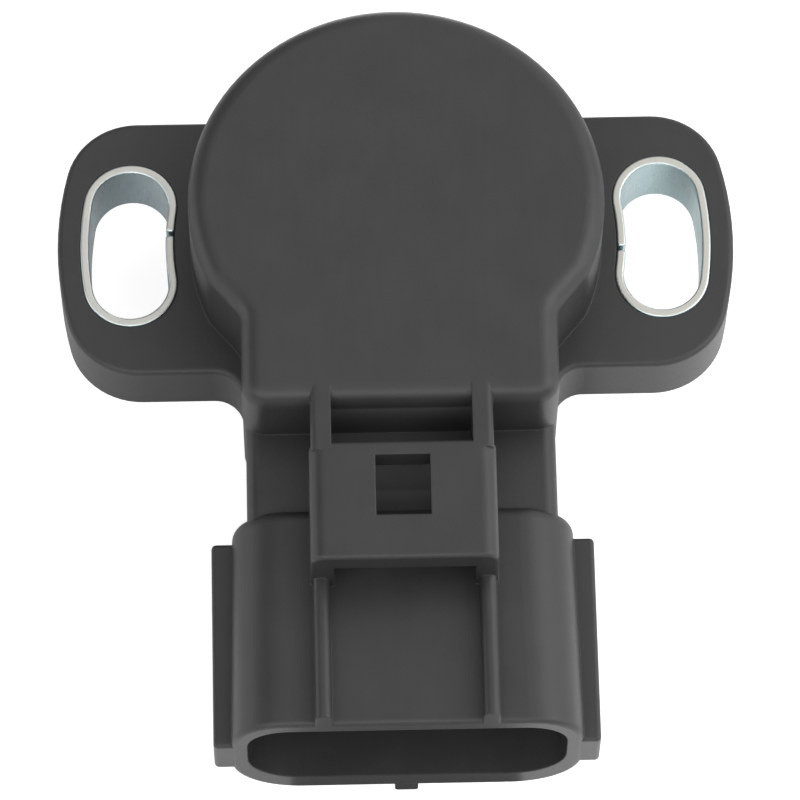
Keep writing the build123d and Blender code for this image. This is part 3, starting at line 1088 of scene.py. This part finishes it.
@dataclass
class Studio:
    """White table among soft lights that are strongest in front and on the right.

    The table that the camera sees glows. The part mirrors a plain sheet in its place, with a grey
    sheet of painted shadow in front of the mouth and brighter cards beside the mouth, by the right ear and
    behind the case.

    Attributes:
        ambient: Strength of the light from all round.
        table_half: Half the table's width in metres.
        reach: How far the cards reach from the axis, in metres.
        mirrored_lift: Height of the mirrored sheet above the table, in metres.
        shade_sheet_half: Half the width of the sheet of painted shadow in metres, where the cards beside it
            start.
        shade_sheet_front: y of the painted shadow's front edge in metres.
        shade_sheet_back: y of the painted shadow's back edge in metres.
        front_cards_back: y of the front cards' back edge, where the right ear's card starts, in metres.
        ear_card_side: x of the right ear's card on its left in metres.
        ear_card_back: y of the right ear's card at its back in metres.
        back_card_half: Half the width of the card behind the case in metres.
        back_card_front: y of that card's front edge in metres.
        lights: The soft lights.
    """

    ambient: float = 0.25
    table_half: float = 1.5
    reach: float = 0.15
    mirrored_lift: float = 0.03 * MILLIMETRE
    shade_sheet_half: float = 8.5 * MILLIMETRE
    shade_sheet_front: float = -75.0 * MILLIMETRE
    shade_sheet_back: float = -38.5 * MILLIMETRE
    front_cards_back: float = -23.0 * MILLIMETRE
    ear_card_side: float = 14.5 * MILLIMETRE
    ear_card_back: float = -1.0 * MILLIMETRE
    back_card_half: float = 16.0 * MILLIMETRE
    back_card_front: float = 17.0 * MILLIMETRE
    lights: tuple[SoftBox, ...] = (
        SoftBox("front_right", 300.0, 42.0, (0.95, 0.60), 2.34),
        SoftBox("front_left", 240.0, 42.0, (0.95, 0.60), 3.19),
        SoftBox("right_low", 0.0, 13.0, (0.95, 0.44), 2.30),
        SoftBox("right_high", 0.0, 42.0, (0.95, 0.60), 3.75),
        SoftBox("back_right", 60.0, 28.0, (0.95, 1.00), 1.40),
        SoftBox("left_low", 180.0, 13.0, (0.95, 0.44), 2.54),
        SoftBox("overhead", 90.0, 85.0, (1.10, 1.00), 1.13),
    )

    def build(self, box: Box) -> None:
        """Adds the table, the light all round and the soft lights.

        Args:
            box: Lowest and highest corner of the part, which stands on the table.
        """
        low, high = box
        for sheet in self._sheets():
            sheet.build(low.z)
        self._surroundings()
        for light in self.lights:
            light.build((low + high) / 2)

    def _sheets(self) -> tuple[PaperSheet, ...]:
        """The table and what lies on it.

        Returns:
            The table that is seen, the one that is mirrored, the grey sheet of painted shadow and the cards.
        """
        far = self.reach
        table = ((-self.table_half, -self.table_half), (self.table_half, self.table_half))
        shade_sheet = ((-self.shade_sheet_half, self.shade_sheet_front), (self.shade_sheet_half, self.shade_sheet_back))
        left_front = ((-far, -far), (-self.shade_sheet_half, self.front_cards_back))
        right_front = ((self.shade_sheet_half, -far), (far, self.front_cards_back))
        right_ear = ((self.ear_card_side, self.front_cards_back), (far, self.ear_card_back))
        behind = ((-self.back_card_half, self.back_card_front), (self.back_card_half, far))
        return (
            PaperSheet("studio_floor", *table, glow=0.66, in_sight=True, lift=0.0),
            PaperSheet("mirrored_floor", *table, tone=0.74, lift=self.mirrored_lift),
            # Painted shadow: a grey sheet that only the part sees, darkening what the mouth mirrors in front
            # of it.
            PaperSheet("front_shade_sheet", *shade_sheet, tone=0.28),
            PaperSheet("left_front_card", *left_front, glow=0.20),
            PaperSheet("right_front_card", *right_front, glow=0.36),
            PaperSheet("right_ear_card", *right_ear, glow=0.12),
            PaperSheet("back_card", *behind, glow=1.50),
        )

    def _surroundings(self) -> None:
        """Lights the scene evenly from all round."""
        world = bpy.data.worlds.new("studio_light")
        world.use_nodes = True
        background = world.node_tree.nodes["Background"]
        background.inputs["Color"].default_value = (1.0, 1.0, 1.0, 1.0)
        background.inputs["Strength"].default_value = self.ambient
        bpy.context.scene.world = world


def main() -> None:
    """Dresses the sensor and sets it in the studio."""
    logging.basicConfig(level=logging.INFO, format="%(message)s")
    cad_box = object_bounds()
    assemblies: tuple[SubAssembly, ...] = (
        MouldedCase(),
        SlotSleeves(),
        ConnectorBlades(),
        SensingParts(),
        TurningParts(),
        CoverAndSeals(),
    )
    for assembly in assemblies:
        for piece in assembly.dress():
            log.info("%s: %s", type(assembly).__name__, piece.name)
    Studio().build(cad_box)
    PhotoCamera().build()
    bpy.context.scene.view_settings.view_transform = "Standard"
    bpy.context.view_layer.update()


if __name__ == "__main__":
    main()
